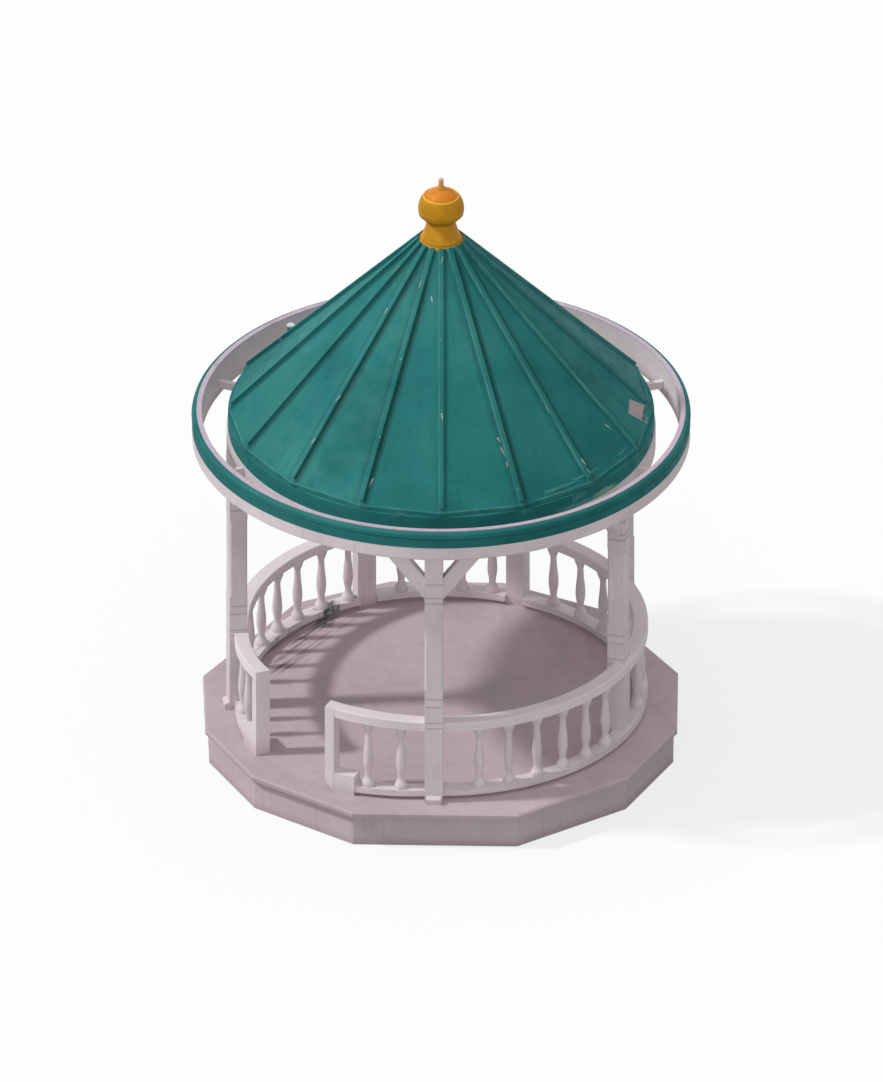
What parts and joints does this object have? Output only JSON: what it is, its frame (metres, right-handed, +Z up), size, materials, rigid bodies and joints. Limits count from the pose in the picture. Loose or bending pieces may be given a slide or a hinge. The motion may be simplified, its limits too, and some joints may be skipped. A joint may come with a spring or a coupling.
{
  "type": "bandstand",
  "caption": "Open round bandstand with posts, knee braces, turned balusters, a hooped eaves ring and a many-sided battened roof with a gilt ball finial.",
  "frame": {"origin": "on the ground at the centre of the plinth", "axes": "+Z up; -Y is the front, where the front post stands; the entrance is on the front left, between -X and -Y"},
  "size_m": [5.4922, 5.4922, 7.0217],
  "materials": {
    "pale_paint": "satin",
    "lip_paint": "satin",
    "green_paint": "satin",
    "gilding": "satin",
    "timber": "matte",
    "plinth_stone": "matte"
  },
  "bodies": {
    "root": {"plinth_course": "plinth_stone", "plinth_slab": "plinth_stone", "post_left": "pale_paint", "post_front": "pale_paint", "post_right": "pale_paint", "post_back_right": "pale_paint", "post_back": "pale_paint", "post_back_left": "pale_paint", "post_toes": "pale_paint", "knee_braces": "pale_paint", "handrail_front_right": "pale_paint", "handrail_right": "pale_paint", "handrail_back_right": "pale_paint", "handrail_back": "pale_paint", "handrail_left": "pale_paint", "handrail_front_stub": "pale_paint", "handrail_left_stub": "pale_paint", "base_rails": "pale_paint", "balusters_front_right": "pale_paint", "balusters_right": "pale_paint", "balusters_back_right": "pale_paint", "balusters_back": "pale_paint", "balusters_left": "pale_paint", "balusters_front_stub": "pale_paint", "balusters_left_stub": "pale_paint", "newel_front": "pale_paint", "newel_left": "pale_paint", "ring_beam": "pale_paint", "hoop_brackets": "pale_paint", "hoop_lining": "pale_paint", "hoop_fascia": "pale_paint", "hoop_moulding": "green_paint", "hoop_lip": "lip_paint", "eaves_band": "green_paint", "rafters": "timber", "roof_boss": "timber", "roof_boards": "green_paint", "roof_battens": "green_paint", "roof_vent": "green_paint", "finial_collar": "gilding", "finial_ball": "gilding", "finial_cap": "gilding", "finial_spike": "gilding"}
  },
  "joints": []
}
